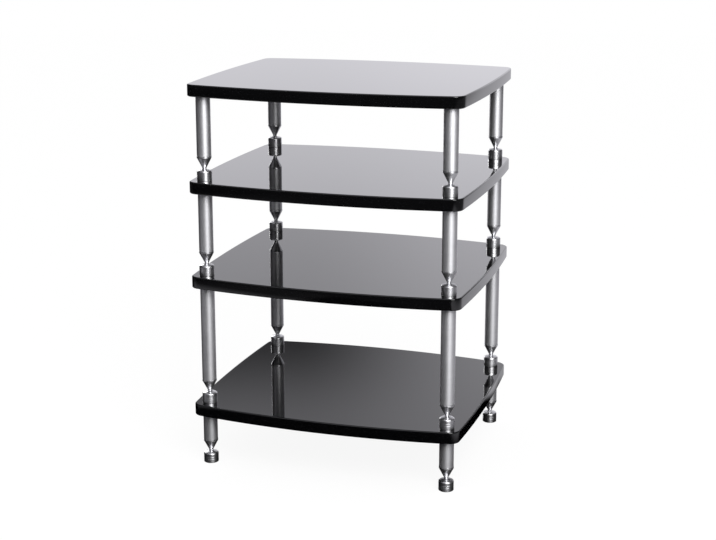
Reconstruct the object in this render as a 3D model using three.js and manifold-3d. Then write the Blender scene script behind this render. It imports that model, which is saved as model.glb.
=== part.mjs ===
// Audio equipment rack. Four bowed black shelves stand one above the other on round pillars.
// Each shelf is a module of its own: a board, four pillars under it, and a spike in each pillar.
// The spikes stand in cups on the board below, and the lowest four in loose cups on the floor.
// Lengths are millimetres. X runs across the rack, Y from its front to its back, and Z up.
// The origin is on the floor under the middle of the rack.
import * as THREE from 'three';
import { mergeVertices } from 'three/addons/utils/BufferGeometryUtils.js';
import Module from 'manifold-3d';

const wasm = await Module();
wasm.setup();

// Board: overall width and depth, the bow of its edges, its corners and its thickness
const shelfWidth = 592;
const shelfDepth = 514;
const shelfThickness = 25;
const endBowRadius = 1720;
const sideBowRadius = 3400;
const cornerRadius = 22;
const edgeRounding = 2.5;

// Places of the four columns, measured in from the board's widest and deepest points
const columnInsetX = 36;
const columnInsetY = 50;

// Clear heights, from the floor or from a board's top to the underside of the next board
const floorBayHeight = 110;
const lowerBayHeight = 255;
const middleBayHeight = 176;
const upperBayHeight = 176;

// Pillar and the threads that all its fittings share
const pillarDiameter = 30;
const threadDiameter = 8;
const threadClearance = 0.4;
const boreEndRoom = 3;

// Spike: a collar, a cone and a blunt nose under a threaded shank
const collarDiameter = 30.8;
const collarHeight = 3;
const coneLength = 21;
const noseLength = 5.7;
const noseTopDiameter = 9;
const tipDiameter = 7;
const shankLength = 24;

// Cup: a round block with a rounded shoulder, whose crown rises to a dimple for the spike's tip
const cupDiameter = 31.4;
const cupSideHeight = 19;
const cupCrownRise = 4;
const cupShoulderRadius = 3;
const dimpleDiameter = 11;
const dimpleDepth = 2;
const dimpleFloorClearance = 0.8;
const studEngagement = 15;

// Threaded insert in the underside of the top board
const insertDiameter = 12;
const insertLength = 13;
const insertSeatRoom = 1;

// Clearances: between two pieces that stand on or in each other, and round a stud in a board
const restingGap = 0.3;
const boardHoleClearance = 0.5;

// How far a cutter runs past the face that it opens
const cutOverrun = 1;

// Facets of a turned piece and of a hole, half the steps along each arc of the board's
// outline, steps over the board's edges, and steps over a cup's shoulder
const turnedFacets = 20;
const holeFacets = 16;
const outlineHalfSteps = 4;
const roundingSteps = 2;
const shoulderSteps = 3;

// Radii and heights that follow from the sizes above
const pillarRadius = pillarDiameter / 2;
const threadRadius = threadDiameter / 2;
const boreRadius = threadRadius + threadClearance;
const cupTop = cupSideHeight + cupCrownRise;
const tipHeight = cupTop - dimpleDepth + restingGap;
const noseTopHeight = tipHeight + noseLength;
const collarBase = noseTopHeight + coneLength;
const collarTop = collarBase + collarHeight;
const pillarBase = collarTop + restingGap;
const columnX = shelfWidth / 2 - columnInsetX;
const columnY = shelfDepth / 2 - columnInsetY;

const columns = [
  { name: 'front_left', x: -columnX, y: -columnY },
  { name: 'front_right', x: columnX, y: -columnY },
  { name: 'back_left', x: -columnX, y: columnY },
  { name: 'back_right', x: columnX, y: columnY },
];

// The modules from the floor up, each with the clear height under its board
const modules = [
  { name: 'base', bayHeight: floorBayHeight },
  { name: 'lower', bayHeight: lowerBayHeight },
  { name: 'middle', bayHeight: middleBayHeight },
  { name: 'top', bayHeight: upperBayHeight },
];

const finishes = {
  lacquer: { color: 0x050506, roughness: 0.06, metalness: 0 },
  satinAluminium: { color: 0xb7bac0, roughness: 0.34, metalness: 1 },
  polishedSteel: { color: 0xd9dbdf, roughness: 0.14, metalness: 1 },
  plainSteel: { color: 0x8f9498, roughness: 0.4, metalness: 1 },
  brass: { color: 0xb3924c, roughness: 0.4, metalness: 1 },
};

function makePiece(name, geometry, finish) {
  const piece = new THREE.Mesh(geometry, new THREE.MeshStandardMaterial(finishes[finish]));
  piece.name = name;
  return piece;
}

// A piece turned about Z. Its profile runs from the top of the axis down to the bottom,
// as pairs of a radius and a height.
function turn(profile, facets = turnedFacets) {
  const points = profile.map(([radius, height]) => new THREE.Vector2(radius, height)).reverse();
  return new THREE.LatheGeometry(points, facets).rotateX(Math.PI / 2);
}

// Solids for cutting: closed meshes whose shared vertices are merged
function toSolid(geometry) {
  const bare = geometry.clone();
  bare.deleteAttribute('normal');
  bare.deleteAttribute('uv');
  const merged = mergeVertices(bare);
  return new wasm.Manifold(new wasm.Mesh({
    numProp: 3,
    vertProperties: new Float32Array(merged.attributes.position.array),
    triVerts: new Uint32Array(merged.index.array),
  }));
}

function toGeometry(solid) {
  const mesh = solid.getMesh();
  const geometry = new THREE.BufferGeometry();
  geometry.setAttribute('position', new THREE.BufferAttribute(mesh.vertProperties, 3));
  geometry.setIndex(new THREE.BufferAttribute(mesh.triVerts, 1));
  return geometry;
}

function drill(solid, x, y, low, high, radius) {
  const cutter = new THREE.CylinderGeometry(radius, radius, high - low, holeFacets);
  cutter.rotateX(Math.PI / 2);
  cutter.translate(x, y, (low + high) / 2);
  return solid.subtract(toSolid(cutter));
}

// Board outline: a shallow bow on each of the four sides and a round corner between each two.
// The front bow's centre lies on Y and the right bow's on X. A corner's centre is a corner
// radius inside both bows, so it is where two circles of shorter radius cross.
function boardOutline() {
  const endCentre = endBowRadius - shelfDepth / 2;
  const sideCentre = sideBowRadius - shelfWidth / 2;
  const endReach = endBowRadius - cornerRadius;
  const sideReach = sideBowRadius - cornerRadius;
  const span = Math.hypot(endCentre, sideCentre);
  const along = (endReach ** 2 - sideReach ** 2 + span ** 2) / (2 * span);
  const across = Math.sqrt(endReach ** 2 - along ** 2);
  const cornerX = (endCentre * across - sideCentre * along) / span;
  const cornerY = (endCentre * along + sideCentre * across) / span - endCentre;
  const endAngle = Math.atan2(-cornerY - endCentre, cornerX);
  const sideAngle = Math.atan2(-cornerY, cornerX + sideCentre);
  const outline = new THREE.Shape();
  outline.absarc(cornerX, -cornerY, cornerRadius, endAngle, sideAngle);
  outline.absarc(-sideCentre, 0, sideBowRadius, sideAngle, -sideAngle);
  outline.absarc(cornerX, cornerY, cornerRadius, -sideAngle, -endAngle);
  outline.absarc(0, -endCentre, endBowRadius, -endAngle, Math.PI + endAngle);
  outline.absarc(-cornerX, cornerY, cornerRadius, Math.PI + endAngle, Math.PI + sideAngle);
  outline.absarc(sideCentre, 0, sideBowRadius, Math.PI + sideAngle, Math.PI - sideAngle);
  outline.absarc(-cornerX, -cornerY, cornerRadius, Math.PI - sideAngle, Math.PI - endAngle);
  outline.absarc(0, endCentre, endBowRadius, Math.PI - endAngle, 2 * Math.PI + endAngle);
  return outline;
}

// A board with its underside at zero. The top board has blind holes for its inserts, the
// others have holes right through for the studs of the cups that stand on them.
function makeBoard(isTop) {
  const blank = new THREE.ExtrudeGeometry(boardOutline(), {
    depth: shelfThickness - 2 * edgeRounding,
    curveSegments: outlineHalfSteps,
    bevelSize: edgeRounding,
    bevelThickness: edgeRounding,
    bevelOffset: -edgeRounding,
    bevelSegments: roundingSteps,
  }).translate(0, 0, edgeRounding);
  const holeTop = isTop ? insertLength + insertSeatRoom : shelfThickness + cutOverrun;
  const holeRadius = isTop ? insertDiameter / 2 + restingGap : threadRadius + boardHoleClearance;
  let board = toSolid(blank);
  for (const column of columns) {
    board = drill(board, column.x, column.y, -cutOverrun, holeTop, holeRadius);
  }
  return toGeometry(board);
}

// A pillar between two heights, bored from both ends for its stud and its spike
function makePillar(top) {
  const radius = pillarRadius;
  const studBoreEnd = top - studEngagement - boreEndRoom;
  const shankBoreEnd = pillarBase + shankLength + boreEndRoom;
  return turn([
    [0, studBoreEnd], [boreRadius, studBoreEnd], [boreRadius, top], [radius, top],
    [radius, pillarBase], [boreRadius, pillarBase], [boreRadius, shankBoreEnd], [0, shankBoreEnd],
  ]);
}

function makeSpike() {
  const collarRadius = collarDiameter / 2;
  const shankTop = collarTop + shankLength;
  return turn([
    [0, shankTop], [threadRadius, shankTop], [threadRadius, collarTop], [collarRadius, collarTop],
    [collarRadius, collarBase], [noseTopDiameter / 2, noseTopHeight], [tipDiameter / 2, tipHeight],
    [0, tipHeight],
  ]);
}

// The shoulder of a cup: an arc that starts where the crown's slope runs into it, and ends at
// the top of the side
function shoulderArc() {
  const centre = new THREE.Vector2(cupDiameter / 2 - cupShoulderRadius, cupSideHeight);
  const toDimple = new THREE.Vector2(dimpleDiameter / 2, cupTop).sub(centre);
  const start = toDimple.angle() - Math.acos(cupShoulderRadius / toDimple.length());
  const points = [];
  for (let step = 0; step <= shoulderSteps; step += 1) {
    const angle = start * (1 - step / shoulderSteps);
    points.push([
      centre.x + cupShoulderRadius * Math.cos(angle), centre.y + cupShoulderRadius * Math.sin(angle),
    ]);
  }
  return points;
}

// A cup with its base at zero. One that stands on a board has a stud below it.
function makeCup(studLength) {
  const radius = cupDiameter / 2;
  const dimpleFloor = cupTop - dimpleDepth;
  const profile = [
    [0, dimpleFloor], [tipDiameter / 2 + dimpleFloorClearance, dimpleFloor],
    [dimpleDiameter / 2, cupTop], ...shoulderArc(), [radius, 0],
  ];
  if (studLength > 0) {
    profile.push([threadRadius, 0], [threadRadius, -studLength], [0, -studLength]);
  } else {
    profile.push([0, 0]);
  }
  return turn(profile);
}

// An insert that is open at both ends, with its mouth at zero
function makeInsert() {
  const radius = insertDiameter / 2;
  return turn([
    [boreRadius, insertLength], [radius, insertLength], [radius, 0], [boreRadius, 0],
    [boreRadius, insertLength],
  ], holeFacets);
}

// The stud between an insert and a pillar, with zero where the two meet
function makeTopStud() {
  const reach = insertLength - restingGap;
  return turn([
    [0, reach], [threadRadius, reach], [threadRadius, -studEngagement], [0, -studEngagement],
  ], holeFacets);
}

const rack = new THREE.Group();

for (const column of columns) {
  const floorCup = makePiece(`floor_cup_${column.name}`, makeCup(0), 'polishedSteel');
  floorCup.position.set(column.x, column.y, 0);
  rack.add(floorCup);
}

let standHeight = 0;
for (const { name, bayHeight } of modules) {
  const isTop = name === 'top';
  const level = new THREE.Group();
  level.position.z = standHeight;
  rack.add(level);

  const board = makePiece(`${name}_shelf`, makeBoard(isTop), 'lacquer');
  board.position.z = bayHeight;
  level.add(board);

  for (const column of columns) {
    const place = new THREE.Group();
    place.position.set(column.x, column.y, 0);
    level.add(place);
    place.add(makePiece(`${name}_pillar_${column.name}`, makePillar(bayHeight), 'satinAluminium'));
    place.add(makePiece(`${name}_spike_${column.name}`, makeSpike(), 'polishedSteel'));
    if (isTop) {
      const insert = makePiece(`${name}_insert_${column.name}`, makeInsert(), 'brass');
      const stud = makePiece(`${name}_stud_${column.name}`, makeTopStud(), 'plainSteel');
      insert.position.z = bayHeight;
      stud.position.z = bayHeight;
      place.add(insert, stud);
    } else {
      const cup = makePiece(`${name}_cup_${column.name}`, makeCup(shelfThickness + studEngagement),
        'polishedSteel');
      cup.position.z = bayHeight + shelfThickness;
      place.add(cup);
    }
  }
  standHeight += bayHeight + shelfThickness;
}

export default rack;
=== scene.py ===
import math

import bmesh
import bpy
from mathutils import Matrix, Vector


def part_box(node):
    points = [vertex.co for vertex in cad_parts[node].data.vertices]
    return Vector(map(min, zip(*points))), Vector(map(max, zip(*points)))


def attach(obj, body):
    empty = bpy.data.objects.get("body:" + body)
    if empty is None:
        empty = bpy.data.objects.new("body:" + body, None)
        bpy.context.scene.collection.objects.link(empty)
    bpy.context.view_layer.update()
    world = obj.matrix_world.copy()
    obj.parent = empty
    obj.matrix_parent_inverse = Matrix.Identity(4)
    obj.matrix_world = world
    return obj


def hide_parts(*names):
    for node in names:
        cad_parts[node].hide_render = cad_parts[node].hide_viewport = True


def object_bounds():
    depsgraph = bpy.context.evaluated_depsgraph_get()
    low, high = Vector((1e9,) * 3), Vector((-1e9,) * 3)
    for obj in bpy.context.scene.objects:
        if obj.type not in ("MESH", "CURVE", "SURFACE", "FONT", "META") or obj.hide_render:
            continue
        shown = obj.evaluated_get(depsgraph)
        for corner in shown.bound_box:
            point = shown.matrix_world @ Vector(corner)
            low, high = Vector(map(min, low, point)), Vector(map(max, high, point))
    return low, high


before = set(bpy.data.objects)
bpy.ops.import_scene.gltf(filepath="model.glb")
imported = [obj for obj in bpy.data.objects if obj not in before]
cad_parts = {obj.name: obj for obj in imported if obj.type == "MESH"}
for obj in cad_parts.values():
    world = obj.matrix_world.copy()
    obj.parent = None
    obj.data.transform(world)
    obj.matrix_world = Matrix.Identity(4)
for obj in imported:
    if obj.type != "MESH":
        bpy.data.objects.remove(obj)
cad_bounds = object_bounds()

# Lengths are metres, in the frame of the model: X to the right, Y to the back, Z up from the floor.

LEVELS = ("base", "lower", "middle", "top")
CORNERS = ("front_left", "front_right", "back_left", "back_right")

# Board: the arcs of its outline, its rounded edges and the rings that keep its faces flat
END_BOW_RADIUS = 1.720
SIDE_BOW_RADIUS = 3.400
CORNER_RADIUS = 0.022
EDGE_ROUNDING = 0.0025
FLAT_RIM = 0.0008
END_STEPS = 56
SIDE_STEPS = 44
CORNER_STEPS = 14
ROUNDING_STEPS = 8
HOLE_STEPS = 40
STUD_HOLE_RADIUS = 0.0045
INSERT_HOLE_RADIUS = 0.0063
INSERT_HOLE_DEPTH = 0.014

# Threads: all the fittings share one size
THREAD_RADIUS = 0.004
THREAD_DEPTH = 0.00077
THREAD_PITCH = 0.00125
THREAD_ROWS = 6
BORE_RADIUS = 0.0044
BORE_CHAMFER = 0.0006
END_ROOM = 0.003
SHANK_LENGTH = 0.024
STUD_ENGAGEMENT = 0.015

# Pillar, spike and cup
PILLAR_CHAMFER = 0.0006
COLLAR_HEIGHT = 0.003
COLLAR_ROUNDING = 0.0003
CONE_LENGTH = 0.021
NOSE_TOP_RADIUS = 0.0045
NOSE_BLEND = 0.002
TIP_RADIUS = 0.0035
TIP_ROUNDING = 0.0008
SHANK_RELIEF = 0.0018
CUP_SIDE_HEIGHT = 0.0186
CUP_FOOT_CHAMFER = 0.0005
SHOULDER_RADIUS = 0.0027
SHOULDER_STEPS = 9
DIMPLE_RADIUS = 0.0055
DIMPLE_FLOOR_RADIUS = 0.0043
DIMPLE_DEPTH = 0.002
GROOVE_DROPS = (0.0059, 0.0101)
GROOVE_WIDTH = 0.0006
GROOVE_DEPTH = 0.0003

# Insert in the top board
INSERT_THREAD_DEPTH = 0.0009
INSERT_THREAD_PITCH = 0.0025

# Turned pieces: facets round the axis, steps round a rounded corner, the flats beside it as a share of its
# rounding, and the angle of a sharp edge
TURNED_FACETS = 72
FILLET_STEPS = 6
FLAT_SHARE = 1 / 3
SHARP_ANGLE = math.radians(19)
MERGE_DISTANCE = 0.000001

# Smudges: the level of noise at which they begin when they cover nothing, and how softly they do
SMUDGE_THRESHOLD = 0.85
SMUDGE_SOFTNESS = 0.3

# Lacquer: its colours, its effects, and how rough each effect makes it
LACQUER_BLACK = (0.0022, 0.0022, 0.0026, 1)
DUST_GREY = (0.03, 0.03, 0.032, 1)
RIPPLE_SIZE = 0.02
RIPPLE_HEIGHT = 0.0002
RIPPLE_STRENGTH = 0.04
SWIRL_SCALE = 90.0
SWIRL_STRETCH = (0.55, 0.8)
DUST_SIZE = 0.004
DUST_SHARE = 0.06
SPECK_EDGE = (0.02, 0.07)
HAND_MARK_SIZE = 0.09
HAND_MARK_COVERAGE = 0.4
LACQUER_ROUGHNESS = 0.03
SWIRL_ROUGHNESS = 0.02
HAND_MARK_ROUGHNESS = 0.015
COAT_ROUGHNESS = 0.02
LACQUER_IOR = 1.5

# Turned metal: streaks against its turning lines, the height of the lines, and the marks of fingers
STREAK_RATE = 0.06
LINE_HEIGHT = 0.0001
FINGER_MARK_SIZE = 0.025
FINGER_MARK_COVERAGE = 0.45
FINGER_MARK_SHARE = 0.5
QUARTER_TURN = 0.25

# Camera, fitted to the photograph
IMAGE_WIDTH = 716
FOCAL_PIXELS = 1483.8
AXIS_ABOVE_MIDDLE_PIXELS = 40
SENSOR_WIDTH_MM = 36
CAMERA_PLACE = (0.9336, -2.9726, 1.2282)
CAMERA_DOWN = math.radians(13.4685)
CAMERA_LEFT = math.radians(17.329)

# Lamps: one that lights everything, and three that only draw highlights on the metal
KEY_AZIMUTH = math.radians(34)
KEY_ELEVATION = math.radians(37)
KEY_DISTANCE = 2.6
KEY_SIZE = (1.2, 1.2)
KEY_POWER = 24
SOFTBOX_AZIMUTH = math.radians(40)
SOFTBOX_ELEVATION = math.radians(33)
SOFTBOX_DISTANCE = 4.0
SOFTBOX_SIZE = (3.6, 2.2)
SOFTBOX_POWER = 105
STRIP_AZIMUTH = math.radians(40)
STRIP_ELEVATION = math.radians(14)
STRIP_DISTANCE = 4.0
STRIP_SIZE = (0.9, 1.4)
STRIP_POWER = 32
REAR_AZIMUTH = math.radians(222)
REAR_ELEVATION = math.radians(14)
REAR_DISTANCE = 4.0
REAR_SIZE = (1.0, 1.8)
REAR_POWER = 30

# Light round the rack: even light on matt surfaces, the tint of the mirrored studio, and the floor
AMBIENT = 0.62
COOL_LIGHT = (0.98, 0.97, 1.03, 1)
WHITE = (1, 1, 1, 1)
FLOOR_RADIUS = 9.0
FLOOR_FACETS = 96
FLOOR_DROP = 0.0002
FLOOR_GREY = (0.8, 0.8, 0.8, 1)
SHADOW_GREY = (0.14, 0.14, 0.14, 1)
FLOOR_GLOW = 0.91

# Room as the gloss and the metal mirror it, with 1 as full white. A pair is a stretch over which one level
# passes softly into another, or the two levels. These stretches are shares of a direction's X and Y.
LEFT_TO_RIGHT = (-0.5, 0.5)
FRONT_TO_SIDES = (-0.9, -0.3)
ROOM_LEFT = 0.02
ROOM_RIGHT = 0.04
ROOM_FRONT = 0.02

# Backdrop and ceiling, by azimuth from straight behind to the left and by elevation, both in degrees. The
# backdrop has a foot, a waist and a head, each with one level on its right and another on its left.
BACKDROP_RIGHT_EDGE = (-26.0, -14.0)
BACKDROP_LEFT_EDGE = (27.0, 42.0)
BACKDROP_TURN = (11.5, 20.0)
WAIST_START = (12.3, 13.5)
HEAD_START = (16.0, 17.6)
FOOT_LEVELS = (0.89, 0.81)
WAIST_LEVELS = (0.80, 0.58)
RIGHT_HEAD_LEVEL = 0.56
LEFT_HEAD_STRETCH = (17.3, 21.5)
LEFT_HEAD_LEVELS = (0.06, 0.36)
CEILING_START = (100.0, 135.0)
CEILING_STRETCH = (26.0, 48.0)
CEILING_LEVELS = (0.0, 0.8)

# Floor as they mirror it, a glow of painted light and shade: pools of painted light to the left, to the
# right, behind and by the back right corner, and painted shade under the rack and before it. The viewpoint
# that they are measured from is in front of the middle of the rack.
VIEWPOINT_AHEAD = 1.5
LEFT_PATCH_EDGE = (-0.33, -0.50)
LEFT_PATCH_LEVELS = (0.0, 0.50)
LEFT_PATCH_BACK = (-0.2, -0.45)
LEFT_PATCH_FRONT = (-0.8, -1.4)
LEFT_PATCH_END = (-0.9, -2.0)
LEFT_PATCH_FADE = (1.0, 0.1)
RIGHT_PATCH_EDGE = (0.42, 0.7)
RIGHT_PATCH_LEVELS = (0.02, 0.45)
RIGHT_PATCH_END = (1.0, 2.5)
RIGHT_PATCH_FADE = (1.0, 0.2)
BACK_PATCH_EDGE = (0.40, 0.55)
BACK_PATCH_LEVELS = (0.0, 0.38)
FAR_PATCH_EDGE = (0.7, 1.6)
FAR_PATCH_LEVELS = (0.0, 0.17)
CORNER_PATCH_SIDE = (0.30, 0.37)
CORNER_PATCH_FRONT = (0.33, 0.43)
CORNER_PATCH_LEVELS = (0.0, 0.50)


# Sizes and places read from the solids

def axis_of(node):
    """Where a solid's upright axis meets the floor."""
    low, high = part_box(node)
    return Vector(((low.x + high.x) / 2, (low.y + high.y) / 2, 0))


def radius_of(node):
    low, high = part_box(node)
    return (high.x - low.x) / 2


COLUMN_AXIS = axis_of("base_pillar_back_right")


# Small helpers for node trees

def add_node(tree, kind, inputs=None, **settings):
    """Adds a node. Each input is a value, or the socket that feeds it."""
    node = tree.nodes.new(kind)
    for name, value in settings.items():
        setattr(node, name, value)
    for name, value in (inputs or {}).items():
        if isinstance(value, bpy.types.NodeSocket):
            tree.links.new(value, node.inputs[name])
        else:
            node.inputs[name].default_value = value
    return node


def calc(tree, operation, *values):
    return add_node(tree, "ShaderNodeMath", dict(enumerate(values)), operation=operation).outputs[0]


def ramp(tree, value, stretch, levels=(0.0, 1.0)):
    """Passes softly from the first level to the second while the value crosses the stretch."""
    node = add_node(tree, "ShaderNodeMapRange",
                    {"Value": value, "From Min": stretch[0], "From Max": stretch[1],
                     "To Min": levels[0], "To Max": levels[1]}, interpolation_type="SMOOTHSTEP")
    return node.outputs["Result"]


def blend_values(tree, share, first, second):
    node = add_node(tree, "ShaderNodeMix", {"Factor": share, "A": first, "B": second})
    return node.outputs["Result"]


def new_group(name, kind, inputs, outputs):
    """A node group with named sockets, and the sockets of its input and output nodes."""
    tree = bpy.data.node_groups.new(name, kind)
    for label, socket_type, value in inputs:
        socket = tree.interface.new_socket(label, in_out="INPUT", socket_type=socket_type)
        if value is not None:
            socket.default_value = value
    for label, socket_type in outputs:
        tree.interface.new_socket(label, in_out="OUTPUT", socket_type=socket_type)
    return tree, tree.nodes.new("NodeGroupInput").outputs, tree.nodes.new("NodeGroupOutput").inputs


# Shader groups that several materials share

def column_marks_group():
    """Fine turning lines round the nearest column's axis, with slow streaks along them."""
    number = "NodeSocketFloat"
    tree, given, made = new_group(
        "turning_marks", "ShaderNodeTree",
        [("Column X", number, COLUMN_AXIS.x), ("Column Y", number, COLUMN_AXIS.y),
         ("Line Spacing", number, None)],
        [("Height", number), ("Streak", number)])
    place = add_node(tree, "ShaderNodeTexCoord").outputs["Object"]
    split = add_node(tree, "ShaderNodeSeparateXYZ", {"Vector": place}).outputs
    across = calc(tree, "SUBTRACT", calc(tree, "ABSOLUTE", split["X"]), given["Column X"])
    along = calc(tree, "SUBTRACT", calc(tree, "ABSOLUTE", split["Y"]), given["Column Y"])
    radius = calc(tree, "SQRT", calc(tree, "ADD", calc(tree, "MULTIPLY", across, across),
                                     calc(tree, "MULTIPLY", along, along)))
    travel = calc(tree, "DIVIDE", calc(tree, "ADD", split["Z"], radius), given["Line Spacing"])
    lines = add_node(tree, "ShaderNodeTexNoise", {"W": travel, "Scale": 1.0, "Detail": 3.0},
                     noise_dimensions="1D")
    slow = calc(tree, "MULTIPLY", travel, STREAK_RATE)
    streaks = add_node(tree, "ShaderNodeTexNoise", {"W": slow, "Scale": 1.0, "Detail": 2.0},
                       noise_dimensions="1D")
    tree.links.new(lines.outputs["Fac"], made["Height"])
    tree.links.new(streaks.outputs["Fac"], made["Streak"])
    return tree


def smudges_group():
    """Soft patches, as hands and cloths leave on a clean surface."""
    number = "NodeSocketFloat"
    tree, given, made = new_group(
        "smudges", "ShaderNodeTree",
        [("Patch Size", number, None), ("Coverage", number, None)],
        [("Mask", number)])
    place = add_node(tree, "ShaderNodeTexCoord").outputs["Object"]
    scale = calc(tree, "DIVIDE", 1.0, given["Patch Size"])
    patches = add_node(tree, "ShaderNodeTexNoise", {"Vector": place, "Scale": scale, "Detail": 5.0,
                                                    "Roughness": 0.6}).outputs["Fac"]
    low = calc(tree, "SUBTRACT", SMUDGE_THRESHOLD, given["Coverage"])
    high = calc(tree, "ADD", low, SMUDGE_SOFTNESS)
    tree.links.new(ramp(tree, patches, (low, high)), made["Mask"])
    return tree


def polish_group():
    """A polished lacquer: faint ripple, hairline swirls and a few specks of dust."""
    number = "NodeSocketFloat"
    tree, given, made = new_group(
        "lacquer_polish", "ShaderNodeTree",
        [("Ripple Size", number, None), ("Dust Size", number, None), ("Dust Share", number, None)],
        [("Height", number), ("Swirls", number), ("Dust", number)])
    place = add_node(tree, "ShaderNodeTexCoord").outputs["Object"]
    ripple = add_node(tree, "ShaderNodeTexNoise",
                      {"Vector": place, "Scale": calc(tree, "DIVIDE", 1.0, given["Ripple Size"]),
                       "Detail": 1.0})
    swirls = add_node(tree, "ShaderNodeTexNoise",
                      {"Vector": place, "Scale": SWIRL_SCALE, "Detail": 6.0, "Roughness": 0.7,
                       "Distortion": 2.0})
    cells = add_node(tree, "ShaderNodeTexVoronoi",
                     {"Vector": place, "Scale": calc(tree, "DIVIDE", 1.0, given["Dust Size"])})
    chance = add_node(tree, "ShaderNodeSeparateColor", {"Color": cells.outputs["Color"]})
    chosen = calc(tree, "LESS_THAN", chance.outputs["Red"], given["Dust Share"])
    speck = ramp(tree, cells.outputs["Distance"], SPECK_EDGE, (1.0, 0.0))
    tree.links.new(ripple.outputs["Fac"], made["Height"])
    tree.links.new(ramp(tree, swirls.outputs["Fac"], SWIRL_STRETCH), made["Swirls"])
    tree.links.new(calc(tree, "MULTIPLY", chosen, speck), made["Dust"])
    return tree


MARKS = column_marks_group()
SMUDGES = smudges_group()
POLISH = polish_group()


def use_group(tree, group, **values):
    """Places a group in a tree, sets its inputs and gives its outputs."""
    node = add_node(tree, "ShaderNodeGroup", node_tree=group)
    for label, value in values.items():
        node.inputs[label.replace("_", " ")].default_value = value
    return node.outputs


def new_material(name):
    material = bpy.data.materials.new(name)
    material.use_nodes = True
    tree = material.node_tree
    return material, tree, tree.nodes["Principled BSDF"]


def shade(tree, shader, **values):
    """Sets the sockets of a shader, or links them."""
    for label, value in values.items():
        socket = shader.inputs[label.replace("_", " ")]
        if isinstance(value, bpy.types.NodeSocket):
            tree.links.new(value, socket)
        else:
            socket.default_value = value


def colour_between(tree, share, first, second):
    node = add_node(tree, "ShaderNodeMix", {"Factor": share}, data_type="RGBA")
    node.inputs["A"].default_value = first
    node.inputs["B"].default_value = second
    return [output for output in node.outputs if output.type == "RGBA"][0]


def gloss_lacquer():
    """Deep black under a polished clear coat."""
    material, tree, shader = new_material("gloss_black_lacquer")
    polish = use_group(tree, POLISH, Ripple_Size=RIPPLE_SIZE, Dust_Size=DUST_SIZE, Dust_Share=DUST_SHARE)
    smudge = use_group(tree, SMUDGES, Patch_Size=HAND_MARK_SIZE, Coverage=HAND_MARK_COVERAGE)
    swirled = calc(tree, "MULTIPLY", polish["Swirls"], SWIRL_ROUGHNESS)
    marked = calc(tree, "MULTIPLY", smudge["Mask"], HAND_MARK_ROUGHNESS)
    roughness = calc(tree, "ADD", calc(tree, "ADD", LACQUER_ROUGHNESS, swirled), marked)
    bump = add_node(tree, "ShaderNodeBump", {"Height": polish["Height"], "Strength": RIPPLE_STRENGTH,
                                             "Distance": RIPPLE_HEIGHT})
    shade(tree, shader, Base_Color=colour_between(tree, polish["Dust"], LACQUER_BLACK, DUST_GREY),
          Roughness=roughness, Normal=bump.outputs["Normal"], IOR=LACQUER_IOR, Coat_Weight=1.0,
          Coat_Roughness=COAT_ROUGHNESS, Coat_IOR=LACQUER_IOR)
    return material


def turned_metal(name, bright, dull, roughness, spread, spacing, grain, anisotropy):
    """A metal that was turned on a lathe. Its lines stretch highlights across themselves."""
    material, tree, shader = new_material(name)
    marks = use_group(tree, MARKS, Line_Spacing=spacing)
    smudge = use_group(tree, SMUDGES, Patch_Size=FINGER_MARK_SIZE, Coverage=FINGER_MARK_COVERAGE)
    streaked = calc(tree, "MULTIPLY", marks["Streak"], spread)
    marked = calc(tree, "MULTIPLY", smudge["Mask"], spread * FINGER_MARK_SHARE)
    amount = calc(tree, "ADD", calc(tree, "ADD", roughness, streaked), marked)
    bump = add_node(tree, "ShaderNodeBump", {"Height": marks["Height"], "Strength": grain,
                                             "Distance": LINE_HEIGHT})
    tangent = add_node(tree, "ShaderNodeTangent", direction_type="RADIAL", axis="Z")
    shade(tree, shader, Base_Color=colour_between(tree, marks["Streak"], (*bright, 1), (*dull, 1)),
          Metallic=1.0, Roughness=amount, Normal=bump.outputs["Normal"], Anisotropic=anisotropy,
          Anisotropic_Rotation=QUARTER_TURN, Tangent=tangent.outputs["Tangent"])
    return material


LACQUER = gloss_lacquer()
PILLAR_METAL = turned_metal(
    "satin_aluminium", bright=(0.86, 0.86, 0.88), dull=(0.78, 0.78, 0.80),
    roughness=0.50, spread=0.06, spacing=0.0006, grain=0.25, anisotropy=0.30)
SPIKE_METAL = turned_metal(
    "polished_spike_steel", bright=(0.84, 0.84, 0.86), dull=(0.76, 0.76, 0.78),
    roughness=0.34, spread=0.05, spacing=0.0008, grain=0.10, anisotropy=0.50)
CUP_METAL = turned_metal(
    "turned_cup_steel", bright=(0.82, 0.82, 0.84), dull=(0.74, 0.74, 0.76),
    roughness=0.35, spread=0.05, spacing=0.0007, grain=0.15, anisotropy=0.60)
BRASS = turned_metal(
    "insert_brass", bright=(0.78, 0.62, 0.32), dull=(0.62, 0.48, 0.24),
    roughness=0.28, spread=0.14, spacing=0.0008, grain=0.2, anisotropy=0.4)
ZINC = turned_metal(
    "zinc_plated_steel", bright=(0.62, 0.64, 0.66), dull=(0.48, 0.50, 0.53),
    roughness=0.32, spread=0.14, spacing=0.0008, grain=0.2, anisotropy=0.4)


# Turned pieces: a profile that Geometry Nodes turn round the Z axis

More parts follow.
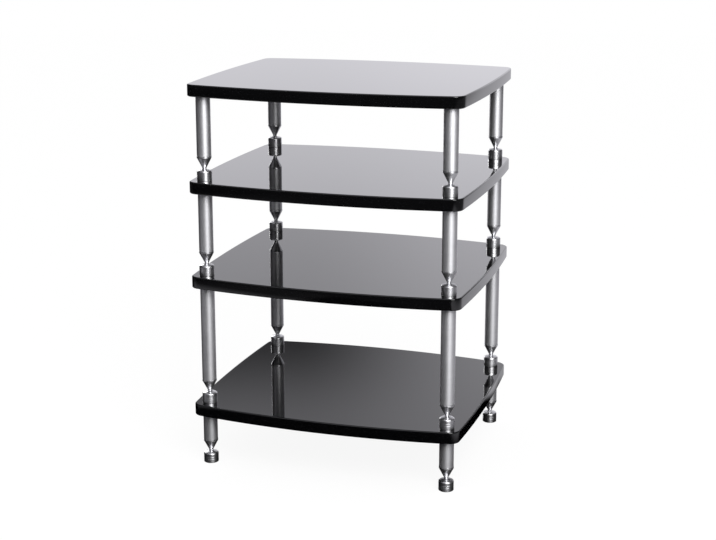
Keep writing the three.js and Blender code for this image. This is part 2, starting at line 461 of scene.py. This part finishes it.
def turning_tree():
    """Turns a chain of points round Z. Its attribute says how deep a thread cuts at each point."""
    geometry, number, whole = "NodeSocketGeometry", "NodeSocketFloat", "NodeSocketInt"
    tree, given, made = new_group(
        "turned_piece", "GeometryNodeTree",
        [("Profile", geometry, None), ("Facets", whole, None), ("Thread Pitch", number, None),
         ("Merge Distance", number, None), ("Finish", "NodeSocketMaterial", None)],
        [("Piece", geometry)])
    size = add_node(tree, "GeometryNodeAttributeDomainSize", {"Geometry": given["Profile"]})
    columns = calc(tree, "ADD", given["Facets"], 1.0)
    grid = add_node(tree, "GeometryNodeMeshGrid", {"Vertices X": size.outputs["Point Count"],
                                                   "Vertices Y": columns})
    index = add_node(tree, "GeometryNodeInputIndex").outputs["Index"]
    row = calc(tree, "FLOOR", calc(tree, "DIVIDE", calc(tree, "ADD", index, 0.5), columns))
    column = calc(tree, "SUBTRACT", index, calc(tree, "MULTIPLY", row, columns))
    angle = calc(tree, "MULTIPLY", calc(tree, "DIVIDE", column, given["Facets"]), math.tau)
    position = add_node(tree, "GeometryNodeInputPosition").outputs["Position"]
    point = add_node(tree, "GeometryNodeSampleIndex",
                     {"Geometry": given["Profile"], "Value": position, "Index": row},
                     data_type="FLOAT_VECTOR").outputs["Value"]
    cut = add_node(tree, "GeometryNodeInputNamedAttribute", {"Name": "thread_depth"}, data_type="FLOAT")
    depth = add_node(tree, "GeometryNodeSampleIndex",
                     {"Geometry": given["Profile"], "Value": cut.outputs["Attribute"], "Index": row},
                     data_type="FLOAT").outputs["Value"]
    place = add_node(tree, "ShaderNodeSeparateXYZ", {"Vector": point}).outputs
    turns = calc(tree, "SUBTRACT", calc(tree, "DIVIDE", place["Z"], given["Thread Pitch"]),
                 calc(tree, "DIVIDE", angle, math.tau))
    doubled = calc(tree, "MULTIPLY", calc(tree, "FRACT", turns), 2.0)
    wave = calc(tree, "ABSOLUTE", calc(tree, "SUBTRACT", doubled, 1.0))
    radius = calc(tree, "SUBTRACT", place["X"], calc(tree, "MULTIPLY", depth, wave))
    turned = add_node(tree, "ShaderNodeCombineXYZ", {
        "X": calc(tree, "MULTIPLY", radius, calc(tree, "COSINE", angle)),
        "Y": calc(tree, "MULTIPLY", radius, calc(tree, "SINE", angle)), "Z": place["Z"]})
    shaped = add_node(tree, "GeometryNodeSetPosition", {"Geometry": grid.outputs["Mesh"],
                                                        "Position": turned.outputs["Vector"]})
    closed = add_node(tree, "GeometryNodeMergeByDistance",
                      {"Geometry": shaped.outputs["Geometry"], "Distance": given["Merge Distance"]})
    smooth = add_node(tree, "GeometryNodeSetShadeSmooth", {"Geometry": closed.outputs["Geometry"]})
    real = add_node(tree, "GeometryNodeRealizeInstances", {"Geometry": smooth.outputs["Geometry"]})
    finished = add_node(tree, "GeometryNodeSetMaterial", {"Geometry": real.outputs["Geometry"],
                                                          "Material": given["Finish"]})
    tree.links.new(finished.outputs["Geometry"], made["Piece"])
    return tree


TURNING = turning_tree()


def rounded(corners):
    """Points of a profile. A corner is a radius, a height and, where it is rounded, its rounding.

    Each point that comes out is a radius, a height and the depth of its thread, which is none here.
    """
    points = []
    for index, corner in enumerate(corners):
        here = Vector((corner[0], 0, corner[1]))
        if len(corner) == 2:
            points.append(here)
            continue
        rounding = corner[2]
        before = (Vector((corners[index - 1][0], 0, corners[index - 1][1])) - here).normalized()
        after = (Vector((corners[index + 1][0], 0, corners[index + 1][1])) - here).normalized()
        half = before.angle(after) / 2
        reach = rounding / math.tan(half)
        centre = here + (before + after).normalized() * rounding / math.sin(half)
        start = here + before * reach - centre
        stop = here + after * reach - centre
        points.append(centre + start + before * rounding * FLAT_SHARE)
        for step in range(FILLET_STEPS + 1):
            points.append(centre + start.slerp(stop, step / FILLET_STEPS).normalized() * rounding)
        points.append(centre + stop + after * rounding * FLAT_SHARE)
    return [(point.x, point.z, 0.0) for point in points]


def threaded(radius, top, bottom, depth=THREAD_DEPTH, pitch=THREAD_PITCH):
    """Rows of a threaded stretch, from its top down. The thread runs out at both ends."""
    rows = round((top - bottom) / pitch * THREAD_ROWS)
    points = []
    for row in range(rows + 1):
        height = top + (bottom - top) * row / rows
        fade = min(1.0, (top - height) / pitch, (height - bottom) / pitch)
        points.append((radius, height, depth * fade))
    return points


def turn(name, profile, finish, pitch=THREAD_PITCH):
    """The mesh of a turned piece, made by the tree from its profile."""
    chain = bpy.data.meshes.new(name + "_profile")
    chain.from_pydata([(radius, 0, height) for radius, height, depth in profile],
                      [(index, index + 1) for index in range(len(profile) - 1)], [])
    depths = chain.attributes.new("thread_depth", "FLOAT", "POINT")
    depths.data.foreach_set("value", [depth for radius, height, depth in profile])
    blank = bpy.data.objects.new(name + "_blank", chain)
    bpy.context.scene.collection.objects.link(blank)
    modifier = blank.modifiers.new("turning", "NODES")
    modifier.node_group = TURNING
    values = {"Facets": TURNED_FACETS, "Thread Pitch": pitch, "Merge Distance": MERGE_DISTANCE,
              "Finish": finish}
    for item in TURNING.interface.items_tree:
        if item.in_out == "INPUT" and item.name in values:
            modifier[item.identifier] = values[item.name]
    depsgraph = bpy.context.evaluated_depsgraph_get()
    mesh = bpy.data.meshes.new_from_object(blank.evaluated_get(depsgraph))
    blank.modifiers.remove(modifier)
    bpy.data.objects.remove(blank)
    bpy.data.meshes.remove(chain)
    mesh.name = name
    mesh.set_sharp_from_angle(angle=SHARP_ANGLE)
    return mesh


def place_piece(mesh, name, shift, body, nodes):
    """Puts a copy of a mesh in its place and ties it to the model."""
    mesh = mesh.copy()
    mesh.name = name
    mesh.transform(Matrix.Translation(shift))
    piece = bpy.data.objects.new(name, mesh)
    bpy.context.scene.collection.objects.link(piece)
    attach(piece, body)
    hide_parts(*nodes)
    return piece


def pillar_profile(radius, bottom, top):
    """A pillar with a bore in each end, for its stud and its spike."""
    stud_end = top - STUD_ENGAGEMENT - END_ROOM
    shank_end = bottom + SHANK_LENGTH + END_ROOM
    mouth = BORE_RADIUS + BORE_CHAMFER
    return rounded([
        (0, stud_end), (BORE_RADIUS, stud_end), (BORE_RADIUS, top - BORE_CHAMFER), (mouth, top),
        (radius, top, PILLAR_CHAMFER), (radius, bottom, PILLAR_CHAMFER), (mouth, bottom),
        (BORE_RADIUS, bottom + BORE_CHAMFER), (BORE_RADIUS, shank_end), (0, shank_end)])


def spike_profile(radius, tip, shank_top):
    """A spike, from the end of its threaded shank down to its tip."""
    collar_top = shank_top - SHANK_LENGTH
    collar_base = collar_top - COLLAR_HEIGHT
    nose_top = collar_base - CONE_LENGTH
    core = THREAD_RADIUS - THREAD_DEPTH
    thread_top = shank_top - THREAD_DEPTH
    thread_base = collar_top + SHANK_RELIEF + THREAD_DEPTH
    return (rounded([(0, shank_top), (core, shank_top)])
            + threaded(THREAD_RADIUS, thread_top, thread_base)
            + rounded([(core, collar_top + SHANK_RELIEF), (core, collar_top),
                       (radius, collar_top, COLLAR_ROUNDING), (radius, collar_base),
                       (NOSE_TOP_RADIUS, nose_top, NOSE_BLEND), (TIP_RADIUS, tip, TIP_ROUNDING),
                       (0, tip)]))


def shoulder_arc(radius, side_top, crown):
    """Points round the shoulder of a cup, from the slope of its crown to the top of its side."""
    centre = Vector((radius - SHOULDER_RADIUS, side_top))
    to_dimple = Vector((DIMPLE_RADIUS, crown)) - centre
    start = math.atan2(to_dimple.y, to_dimple.x) - math.acos(SHOULDER_RADIUS / to_dimple.length)
    points = []
    for step in range(SHOULDER_STEPS + 1):
        angle = start * (1 - step / SHOULDER_STEPS)
        points.append((centre.x + SHOULDER_RADIUS * math.cos(angle),
                       centre.y + SHOULDER_RADIUS * math.sin(angle)))
    return points


def cup_profile(radius, base, crown, stud_end):
    """A cup with a dimple in its crown and grooves round its side, over a stud or a flat foot."""
    side_top = base + CUP_SIDE_HEIGHT
    corners = [(0, crown - DIMPLE_DEPTH), (DIMPLE_FLOOR_RADIUS, crown - DIMPLE_DEPTH),
               (DIMPLE_RADIUS, crown)] + shoulder_arc(radius, side_top, crown)
    for drop in GROOVE_DROPS:
        corners += [(radius, side_top - drop),
                    (radius - GROOVE_DEPTH, side_top - drop - GROOVE_WIDTH / 2),
                    (radius, side_top - drop - GROOVE_WIDTH)]
    corners += [(radius, base + CUP_FOOT_CHAMFER), (radius - CUP_FOOT_CHAMFER, base)]
    if stud_end == base:
        return rounded(corners + [(0, base)])
    core = THREAD_RADIUS - THREAD_DEPTH
    thread_top = stud_end + STUD_ENGAGEMENT
    return (rounded(corners + [(THREAD_RADIUS, base)])
            + threaded(THREAD_RADIUS, thread_top, stud_end + THREAD_DEPTH)
            + rounded([(core, stud_end), (0, stud_end)]))


def top_stud_profile(bottom, top):
    """A stud with a thread over its whole length."""
    core = THREAD_RADIUS - THREAD_DEPTH
    return (rounded([(0, top), (core, top)])
            + threaded(THREAD_RADIUS, top - THREAD_DEPTH, bottom + THREAD_DEPTH)
            + rounded([(core, bottom), (0, bottom)]))


def insert_profile(radius, bottom, top):
    """An insert, open at both ends, with a coarse thread outside."""
    core = radius - INSERT_THREAD_DEPTH
    mouth = BORE_RADIUS + BORE_CHAMFER / 2
    return (rounded([(BORE_RADIUS, bottom + BORE_CHAMFER), (BORE_RADIUS, top), (core, top)])
            + threaded(radius, top - INSERT_THREAD_DEPTH, bottom + INSERT_THREAD_DEPTH,
                       INSERT_THREAD_DEPTH, INSERT_THREAD_PITCH)
            + rounded([(core, bottom), (mouth, bottom), (BORE_RADIUS, bottom + BORE_CHAMFER)]))


# Boards

def outline_arcs(half_width, half_depth):
    """The eight arcs of a board's edge, each as a centre, a radius, two angles and its steps."""
    end_centre = END_BOW_RADIUS - half_depth
    side_centre = SIDE_BOW_RADIUS - half_width
    end_reach = END_BOW_RADIUS - CORNER_RADIUS
    side_reach = SIDE_BOW_RADIUS - CORNER_RADIUS
    span = math.hypot(end_centre, side_centre)
    along = (end_reach ** 2 - side_reach ** 2 + span ** 2) / (2 * span)
    across = math.sqrt(end_reach ** 2 - along ** 2)
    x = (end_centre * across - side_centre * along) / span
    y = (end_centre * along + side_centre * across) / span - end_centre
    end = math.atan2(-y - end_centre, x)
    side = math.atan2(-y, x + side_centre)
    return [
        ((x, -y), CORNER_RADIUS, end, side, CORNER_STEPS),
        ((-side_centre, 0), SIDE_BOW_RADIUS, side, -side, SIDE_STEPS),
        ((x, y), CORNER_RADIUS, -side, -end, CORNER_STEPS),
        ((0, -end_centre), END_BOW_RADIUS, -end, math.pi + end, END_STEPS),
        ((-x, y), CORNER_RADIUS, math.pi + end, math.pi + side, CORNER_STEPS),
        ((side_centre, 0), SIDE_BOW_RADIUS, math.pi + side, math.pi - side, SIDE_STEPS),
        ((-x, -y), CORNER_RADIUS, math.pi - side, math.pi - end, CORNER_STEPS),
        ((0, end_centre), END_BOW_RADIUS, math.pi - end, math.tau + end, END_STEPS),
    ]


def outline_points(arcs, inset):
    """Points round a board's edge, moved inwards by the inset."""
    points = []
    for (x, y), radius, start, stop, steps in arcs:
        for step in range(steps):
            angle = start + (stop - start) * step / steps
            points.append((x + (radius - inset) * math.cos(angle),
                           y + (radius - inset) * math.sin(angle)))
    return points


def ring_of(shape, points, height):
    return [shape.verts.new((x, y, height)) for x, y in points]


def join_rings(shape, first, second):
    """Faces between two rings of the same number of points."""
    count = len(first)
    for index in range(count):
        after = (index + 1) % count
        shape.faces.new((first[index], first[after], second[after], second[index]))


def edges_of(shape, ring):
    return [shape.edges.get((ring[index - 1], ring[index])) or
            shape.edges.new((ring[index - 1], ring[index])) for index in range(len(ring))]


def edge_section(bottom, top):
    """Insets and heights of the rings down a board's edge, which is rounded at its top and bottom."""
    section = [(EDGE_ROUNDING + FLAT_RIM, 0.0)]
    for step in range(ROUNDING_STEPS + 1):
        angle = math.pi / 2 * step / ROUNDING_STEPS
        section.append((EDGE_ROUNDING * (1 - math.sin(angle)), EDGE_ROUNDING * (1 - math.cos(angle))))
    upper = [(inset, top - drop) for inset, drop in section]
    lower = [(inset, bottom + drop) for inset, drop in reversed(section)]
    return upper + lower


def board_mesh(name, low, high, columns, blind):
    """A bowed board with a hole on each column's axis, right through or, where it is blind, from below."""
    arcs = outline_arcs((high.x - low.x) / 2, (high.y - low.y) / 2)
    shape = bmesh.new()
    rings = [ring_of(shape, outline_points(arcs, inset), height)
             for inset, height in edge_section(low.z, high.z)]
    for first, second in zip(rings, rings[1:]):
        join_rings(shape, first, second)
    hole_radius = INSERT_HOLE_RADIUS if blind else STUD_HOLE_RADIUS
    hole_top = low.z + INSERT_HOLE_DEPTH if blind else high.z
    upper = edges_of(shape, rings[0])
    lower = edges_of(shape, rings[-1])
    for x, y in columns:
        circle = [(x + hole_radius * math.cos(math.tau * step / HOLE_STEPS),
                   y + hole_radius * math.sin(math.tau * step / HOLE_STEPS))
                  for step in range(HOLE_STEPS)]
        mouth = ring_of(shape, circle, low.z)
        end = ring_of(shape, circle, hole_top)
        join_rings(shape, mouth, end)
        lower += edges_of(shape, mouth)
        if blind:
            shape.faces.new(end)
        else:
            upper += edges_of(shape, end)
    bmesh.ops.triangle_fill(shape, use_beauty=True, edges=upper)
    bmesh.ops.triangle_fill(shape, use_beauty=True, edges=lower)
    bmesh.ops.recalc_face_normals(shape, faces=shape.faces)
    mesh = bpy.data.meshes.new(name)
    shape.to_mesh(mesh)
    shape.free()
    mesh.polygons.foreach_set("use_smooth", [True] * len(mesh.polygons))
    mesh.set_sharp_from_angle(angle=SHARP_ANGLE)
    mesh.materials.append(LACQUER)
    return mesh


# The rack

def build_boards():
    """Builds the four boards and gives them back."""
    boards = []
    columns = [tuple(axis_of(f"base_pillar_{corner}"))[:2] for corner in CORNERS]
    for level in LEVELS:
        node = f"{level}_shelf"
        low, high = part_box(node)
        mesh = board_mesh(f"{level}_board", low, high, columns, blind=level == "top")
        boards.append(place_piece(mesh, f"{level}_board", Vector(), f"{level}_module",
                                  [node]))
    return boards


def build_turned(part, node_name, piece_name, level, profile, finish, body_name,
                 pitch=THREAD_PITCH):
    """Turns one piece for a level and stands a copy of it on each of the four columns."""
    node = node_name.format(level=level, corner=CORNERS[0])
    low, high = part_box(node)
    mesh = turn(f"{level}_{part}", profile(radius_of(node), low.z, high.z), finish, pitch)
    for corner in CORNERS:
        node = node_name.format(level=level, corner=corner)
        place_piece(mesh, piece_name.format(level=level, corner=corner), axis_of(node),
                    body_name.format(level=level, corner=corner), [node])


def build_columns():
    """Builds every pillar, spike, cup, insert and stud."""
    for level in LEVELS:
        build_turned("pillar", "{level}_pillar_{corner}", "{level}_{corner}_pillar", level,
                     pillar_profile, PILLAR_METAL, "{level}_module")
        spike_body = "base_spike_{corner}" if level == "base" else "{level}_module"
        build_turned("spike", "{level}_spike_{corner}", "{level}_{corner}_spike", level,
                     spike_profile, SPIKE_METAL, spike_body)
    for level in LEVELS[:-1]:
        board_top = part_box(f"{level}_shelf")[1].z
        build_turned("cup", "{level}_cup_{corner}", "{level}_{corner}_cup", level,
                     lambda radius, low, high: cup_profile(radius, board_top, high, low),
                     CUP_METAL, "{level}_module")
    build_turned("cup", "floor_cup_{corner}", "floor_{corner}_cup", "floor",
                 lambda radius, low, high: cup_profile(radius, low, high, low),
                 CUP_METAL, "floor_cup_{corner}")
    build_turned("insert", "top_insert_{corner}", "top_{corner}_insert", "top",
                 insert_profile, BRASS, "top_module", INSERT_THREAD_PITCH)
    build_turned("stud", "top_stud_{corner}", "top_{corner}_stud", "top",
                 lambda radius, low, high: top_stud_profile(low, high), ZINC, "top_module")


# Studio: camera, lamps, surroundings and floor

def make_camera():
    """The camera, with its optical axis above the middle of the picture."""
    data = bpy.data.cameras.new("camera")
    data.sensor_width = SENSOR_WIDTH_MM
    data.lens = FOCAL_PIXELS * SENSOR_WIDTH_MM / IMAGE_WIDTH
    data.shift_y = -AXIS_ABOVE_MIDDLE_PIXELS / IMAGE_WIDTH
    camera = bpy.data.objects.new("camera", data)
    camera.location = CAMERA_PLACE
    camera.rotation_euler = (math.pi / 2 - CAMERA_DOWN, 0, CAMERA_LEFT)
    bpy.context.scene.collection.objects.link(camera)
    bpy.context.scene.camera = camera


def make_lamp(name, azimuth, elevation, distance, size, power):
    """A flat lamp, unseen itself, that faces the middle of the rack. Azimuth runs from front to right."""
    data = bpy.data.lights.new(name, "AREA")
    data.shape = "RECTANGLE"
    data.size, data.size_y = size
    data.energy = power
    lamp = bpy.data.objects.new(name, data)
    lamp.visible_camera = False
    middle = (cad_bounds[0] + cad_bounds[1]) / 2
    away = Vector((math.sin(azimuth) * math.cos(elevation),
                   -math.cos(azimuth) * math.cos(elevation), math.sin(elevation)))
    lamp.location = middle + away * distance
    lamp.rotation_euler = away.to_track_quat("Z", "Y").to_euler()
    bpy.context.scene.collection.objects.link(lamp)
    return lamp


def light_metal_only(lamps, boards):
    """Keeps lamps that draw the metal's highlights out of the glossy boards and off matt surfaces."""
    left_out = bpy.data.collections.new("boards_left_out")
    for board in boards:
        left_out.objects.link(board)
    for entry in left_out.collection_objects:
        entry.light_linking.link_state = "EXCLUDE"
    for lamp in lamps:
        lamp.visible_diffuse = False
        lamp.light_linking.receiver_collection = left_out


def surroundings_group():
    """The studio round the rack: its level to the sides, and where the pale backdrop stands."""
    number = "NodeSocketFloat"
    tree, given, made = new_group(
        "studio_surroundings", "ShaderNodeTree",
        [("Direction", "NodeSocketVector", None), ("Left", number, None), ("Right", number, None),
         ("Front", number, None)],
        [("Sides", number), ("Behind", number), ("Leftward", number), ("Elevation", number)])
    unit = add_node(tree, "ShaderNodeVectorMath", {0: given["Direction"]}, operation="NORMALIZE")
    split = add_node(tree, "ShaderNodeSeparateXYZ", {"Vector": unit.outputs["Vector"]}).outputs
    sides = blend_values(tree, ramp(tree, split["X"], LEFT_TO_RIGHT), given["Left"], given["Right"])
    sides = blend_values(tree, ramp(tree, split["Y"], FRONT_TO_SIDES), given["Front"], sides)
    leftward = calc(tree, "DEGREES", calc(tree, "ARCTAN2", calc(tree, "MULTIPLY", split["X"], -1.0),
                                          split["Y"]))
    behind = calc(tree, "MULTIPLY", ramp(tree, leftward, BACKDROP_RIGHT_EDGE),
                  ramp(tree, leftward, BACKDROP_LEFT_EDGE, (1.0, 0.0)))
    tree.links.new(sides, made["Sides"])
    tree.links.new(behind, made["Behind"])
    tree.links.new(leftward, made["Leftward"])
    tree.links.new(calc(tree, "DEGREES", calc(tree, "ARCSINE", split["Z"])), made["Elevation"])
    return tree


SURROUNDINGS = surroundings_group()


def studio_level(tree):
    """How bright the room looks: dark, with a backdrop that darkens upwards and a ceiling in front."""
    studio = use_group(tree, SURROUNDINGS, Left=ROOM_LEFT, Right=ROOM_RIGHT, Front=ROOM_FRONT)
    direction = add_node(tree, "ShaderNodeTexCoord").outputs["Generated"]
    tree.links.new(direction, studio["Sides"].node.inputs["Direction"])
    elevation = studio["Elevation"]
    left = ramp(tree, studio["Leftward"], BACKDROP_TURN)
    foot = blend_values(tree, left, *FOOT_LEVELS)
    waist = blend_values(tree, left, *WAIST_LEVELS)
    left_head = ramp(tree, elevation, LEFT_HEAD_STRETCH, LEFT_HEAD_LEVELS)
    head = blend_values(tree, left, RIGHT_HEAD_LEVEL, left_head)
    backdrop = blend_values(tree, ramp(tree, elevation, WAIST_START), foot, waist)
    backdrop = blend_values(tree, ramp(tree, elevation, HEAD_START), backdrop, head)
    in_front = ramp(tree, calc(tree, "ABSOLUTE", studio["Leftward"]), CEILING_START)
    ceiling = calc(tree, "MULTIPLY", ramp(tree, elevation, CEILING_STRETCH, CEILING_LEVELS), in_front)
    level = blend_values(tree, studio["Behind"], studio["Sides"], backdrop)
    return calc(tree, "MAXIMUM", level, ceiling)


def painted_floor_light(tree):
    """Painted light and shade on the floor, seen only in reflections: painted shade under the rack and
    before it, and pools of painted light behind and to the sides.
    """
    place = add_node(tree, "ShaderNodeTexCoord").outputs["Object"]
    split = add_node(tree, "ShaderNodeSeparateXYZ", {"Vector": place}).outputs
    across = split["X"]
    along = split["Y"]
    from_viewpoint = add_node(tree, "ShaderNodeVectorMath", {0: place, 1: (0, VIEWPOINT_AHEAD, 0)},
                              operation="ADD")
    studio = use_group(tree, SURROUNDINGS, Front=ROOM_FRONT)
    group = studio["Sides"].node
    tree.links.new(from_viewpoint.outputs["Vector"], group.inputs["Direction"])
    left = ramp(tree, across, LEFT_PATCH_EDGE, LEFT_PATCH_LEVELS)
    for fade in (ramp(tree, along, LEFT_PATCH_BACK),
                 ramp(tree, along, LEFT_PATCH_FRONT, LEFT_PATCH_FADE),
                 ramp(tree, across, LEFT_PATCH_END, LEFT_PATCH_FADE)):
        left = calc(tree, "MULTIPLY", left, fade)
    tree.links.new(left, group.inputs["Left"])
    right = calc(tree, "MULTIPLY", ramp(tree, across, RIGHT_PATCH_EDGE, RIGHT_PATCH_LEVELS),
                 ramp(tree, across, RIGHT_PATCH_END, RIGHT_PATCH_FADE))
    tree.links.new(right, group.inputs["Right"])
    back = ramp(tree, along, BACK_PATCH_EDGE, BACK_PATCH_LEVELS)
    far = ramp(tree, along, FAR_PATCH_EDGE, FAR_PATCH_LEVELS)
    corner = calc(tree, "MULTIPLY", ramp(tree, across, CORNER_PATCH_SIDE),
                  ramp(tree, along, CORNER_PATCH_FRONT, CORNER_PATCH_LEVELS))
    backdrop = calc(tree, "MAXIMUM", calc(tree, "ADD", back, far), corner)
    return blend_values(tree, studio["Behind"], studio["Sides"], backdrop)


def make_world():
    """White to the camera, even light on matt surfaces, and the studio in reflections."""
    world = bpy.data.worlds.new("studio")
    world.use_nodes = True
    world.cycles.sampling_method = "NONE"
    tree = world.node_tree
    tree.nodes.clear()
    path = add_node(tree, "ShaderNodeLightPath").outputs
    shiny = calc(tree, "MAXIMUM", path["Is Glossy Ray"], path["Is Transmission Ray"])
    level = blend_values(tree, shiny, AMBIENT, studio_level(tree))
    level = blend_values(tree, path["Is Camera Ray"], level, 1.0)
    tint = colour_between(tree, shiny, WHITE, COOL_LIGHT)
    background = add_node(tree, "ShaderNodeBackground", {"Color": tint, "Strength": level})
    output = add_node(tree, "ShaderNodeOutputWorld")
    tree.links.new(background.outputs["Background"], output.inputs["Surface"])
    bpy.context.scene.world = world


def make_floor():
    """A pale floor that keeps a faint shadow, and in reflections glows with the painted light and shade of
    painted_floor_light.
    """
    material = bpy.data.materials.new("studio_floor")
    material.use_nodes = True
    tree = material.node_tree
    tree.nodes.clear()
    path = add_node(tree, "ShaderNodeLightPath").outputs
    matt = add_node(tree, "ShaderNodeBsdfDiffuse", {"Color": FLOOR_GREY})
    faint = add_node(tree, "ShaderNodeBsdfDiffuse", {"Color": SHADOW_GREY})
    glow = add_node(tree, "ShaderNodeEmission", {"Strength": FLOOR_GLOW})
    seen = add_node(tree, "ShaderNodeAddShader", {0: faint.outputs["BSDF"], 1: glow.outputs["Emission"]})
    # Painted reflection: a glow of painted light and shade on the floor that only glossy and transmission
    # rays see
    mirrored = add_node(tree, "ShaderNodeEmission", {"Color": COOL_LIGHT, "Strength": painted_floor_light(tree)})
    shiny = calc(tree, "MAXIMUM", path["Is Glossy Ray"], path["Is Transmission Ray"])
    unseen = add_node(tree, "ShaderNodeMixShader", {0: shiny, 1: matt.outputs["BSDF"],
                                                    2: mirrored.outputs["Emission"]})
    surface = add_node(tree, "ShaderNodeMixShader", {0: path["Is Camera Ray"],
                                                     1: unseen.outputs["Shader"],
                                                     2: seen.outputs["Shader"]})
    output = add_node(tree, "ShaderNodeOutputMaterial")
    tree.links.new(surface.outputs["Shader"], output.inputs["Surface"])
    shape = bmesh.new()
    bmesh.ops.create_circle(shape, cap_ends=True, segments=FLOOR_FACETS, radius=FLOOR_RADIUS)
    bmesh.ops.translate(shape, verts=shape.verts, vec=(0, 0, -FLOOR_DROP))
    mesh = bpy.data.meshes.new("studio_floor")
    shape.to_mesh(mesh)
    shape.free()
    mesh.materials.append(material)
    floor = bpy.data.objects.new("studio_floor", mesh)
    bpy.context.scene.collection.objects.link(floor)


make_camera()
make_lamp("key_lamp", KEY_AZIMUTH, KEY_ELEVATION, KEY_DISTANCE, KEY_SIZE, KEY_POWER)
metal_lamps = [
    make_lamp("softbox", SOFTBOX_AZIMUTH, SOFTBOX_ELEVATION, SOFTBOX_DISTANCE, SOFTBOX_SIZE,
              SOFTBOX_POWER),
    make_lamp("strip", STRIP_AZIMUTH, STRIP_ELEVATION, STRIP_DISTANCE, STRIP_SIZE, STRIP_POWER),
    make_lamp("rear_softbox", REAR_AZIMUTH, REAR_ELEVATION, REAR_DISTANCE, REAR_SIZE, REAR_POWER)]
make_world()
make_floor()
light_metal_only(metal_lamps, build_boards())
build_columns()

bpy.context.scene.view_settings.view_transform = "Standard"
